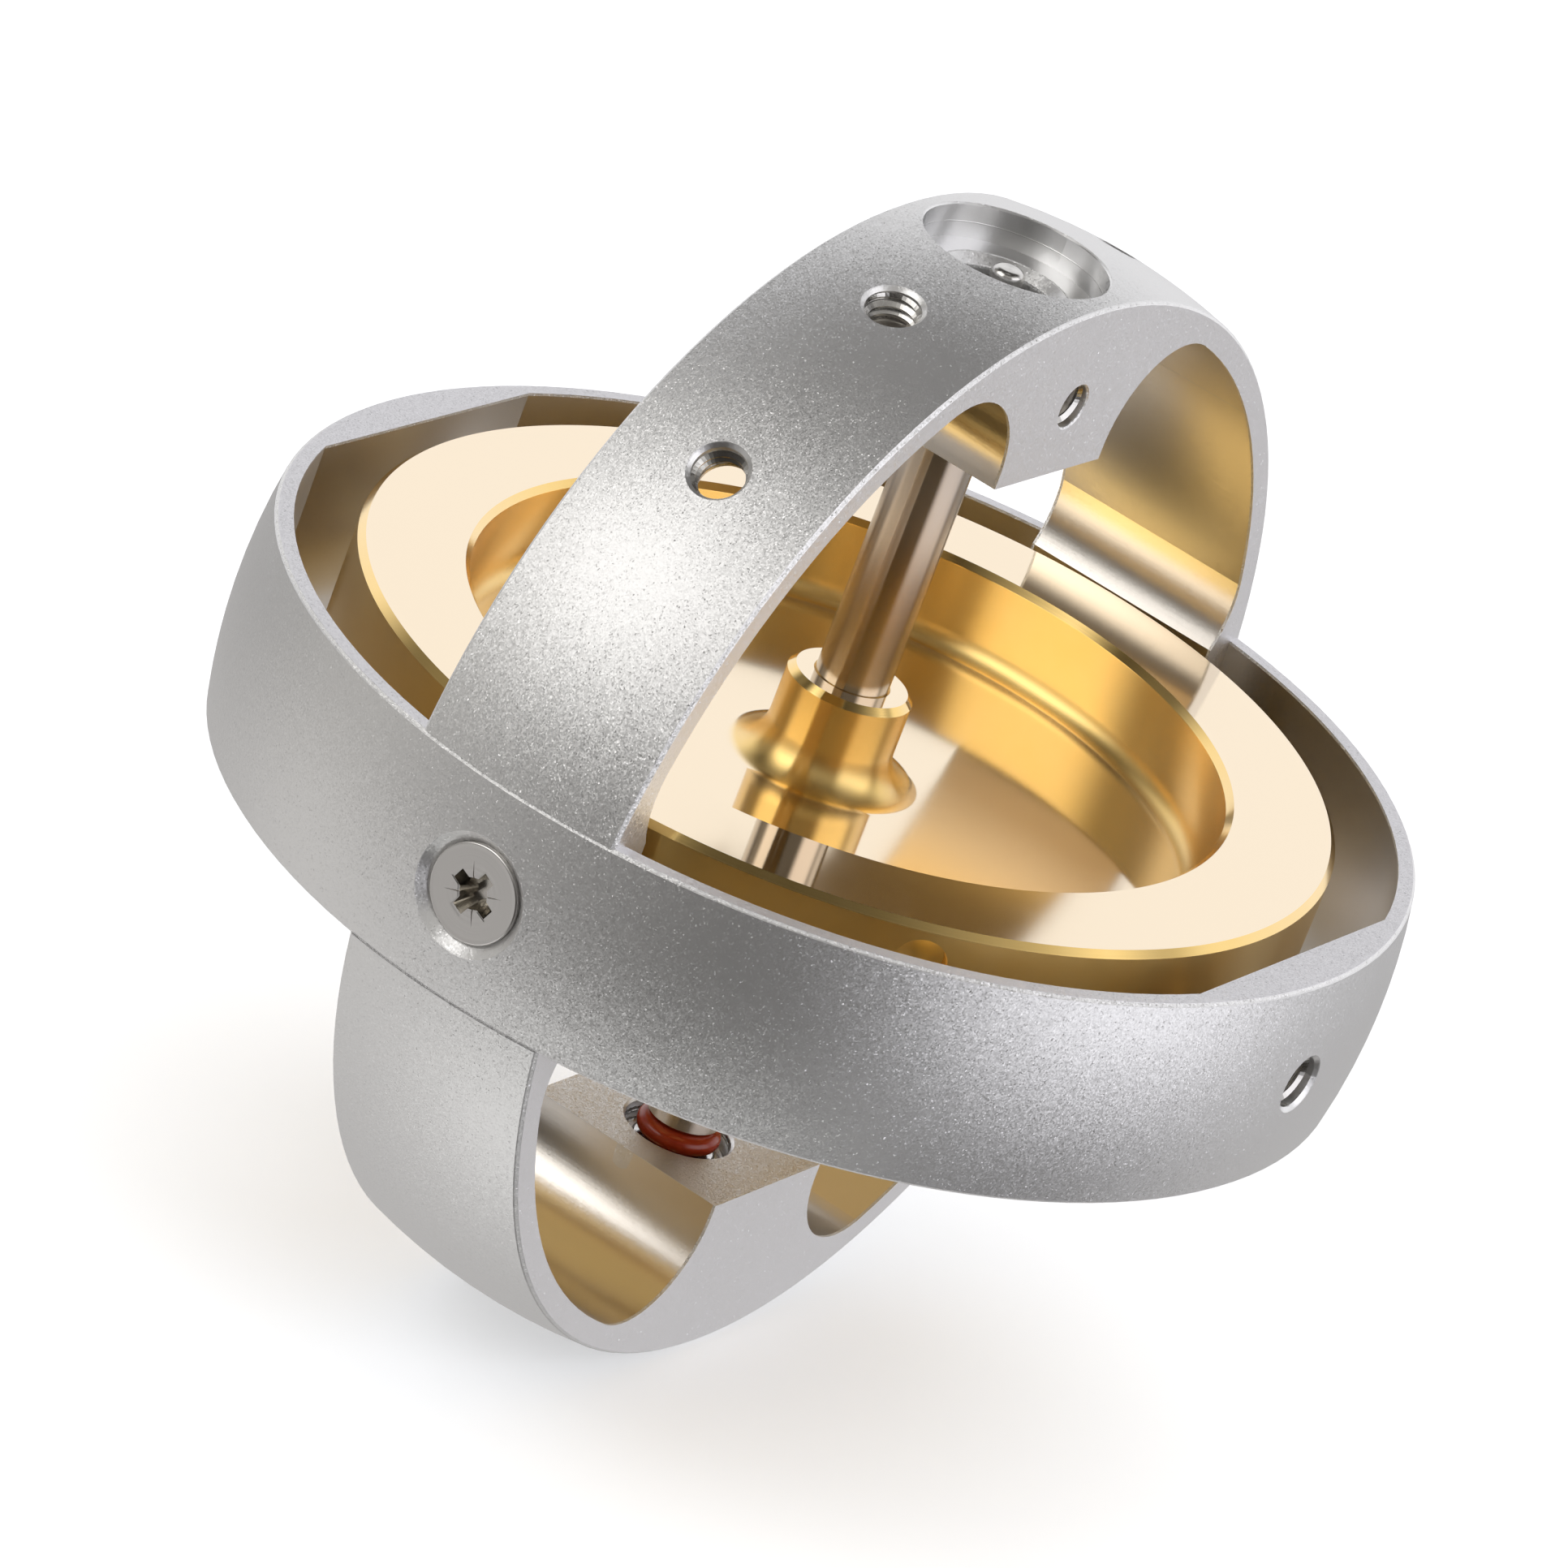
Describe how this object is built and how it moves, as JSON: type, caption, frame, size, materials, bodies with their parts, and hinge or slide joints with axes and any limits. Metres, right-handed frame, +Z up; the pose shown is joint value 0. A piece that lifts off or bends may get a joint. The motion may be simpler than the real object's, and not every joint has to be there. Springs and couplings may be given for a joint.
{
  "type": "gyroscope",
  "caption": "Precision gyroscope: heavy brass rotor on a steel axle in ball bearings, spinning inside two crossed satin aluminium rings cut from one sphere.",
  "frame": {"origin": "centre of the sphere that both rings are cut from, in the middle of the rotor", "axes": "+Z up the axle towards the pole with the lock screw, +X to the right through the side screws, -Y to the front, where the lock screw goes in"},
  "size_m": [0.0646, 0.065, 0.0642],
  "materials": {
    "ring": "bead-blasted satin, with smooth turned bores",
    "rotor": "finely turned and polished",
    "axle": "ground and polished",
    "screw": "plain stainless steel",
    "lock_screw": "plain stainless steel",
    "holder": "turned stainless steel",
    "bearing": "ground bearing steel",
    "ball": "polished bearing steel",
    "cage": "pressed steel",
    "shield": "pressed steel",
    "seal": "smooth red silicone"
  },
  "bodies": {
    "frame": {"axle_ring": "ring", "girdle_ring": "ring", "ring_screw_left": "screw", "ring_screw_right": "screw", "upper_bearing_holder": "holder", "lower_bearing_holder": "holder", "holder_lock_screw": "lock_screw", "upper_outer_race": "bearing", "lower_outer_race": "bearing", "upper_bearing_shields": "shield", "lower_bearing_shields": "shield"},
    "rotor": {"flywheel": "rotor", "axle": "axle", "upper_inner_race": "bearing", "lower_inner_race": "bearing", "upper_o_ring": "seal", "lower_o_ring": "seal"},
    "upper_ball_set": {"upper_bearing_balls": "ball", "upper_ball_cage": "cage"},
    "lower_ball_set": {"lower_bearing_balls": "ball", "lower_ball_cage": "cage"}
  },
  "joints": [
    {"name": "rotor_spin", "type": "hinge", "parent": "frame", "child": "rotor", "pos_m": [0, 0, 0], "axis": [0, 0, 1], "continuous": true},
    {"name": "upper_ball_spin", "type": "hinge", "parent": "frame", "child": "upper_ball_set", "pos_m": [0, 0, 0.02424], "axis": [0, 0, 1], "continuous": true},
    {"name": "lower_ball_spin", "type": "hinge", "parent": "frame", "child": "lower_ball_set", "pos_m": [0, 0, -0.02424], "axis": [0, 0, 1], "continuous": true}
  ],
  "couplings": [
    {"joint": "upper_ball_spin", "follows": "rotor_spin", "ratio": 0.38936},
    {"joint": "lower_ball_spin", "follows": "rotor_spin", "ratio": 0.38936}
  ]
}
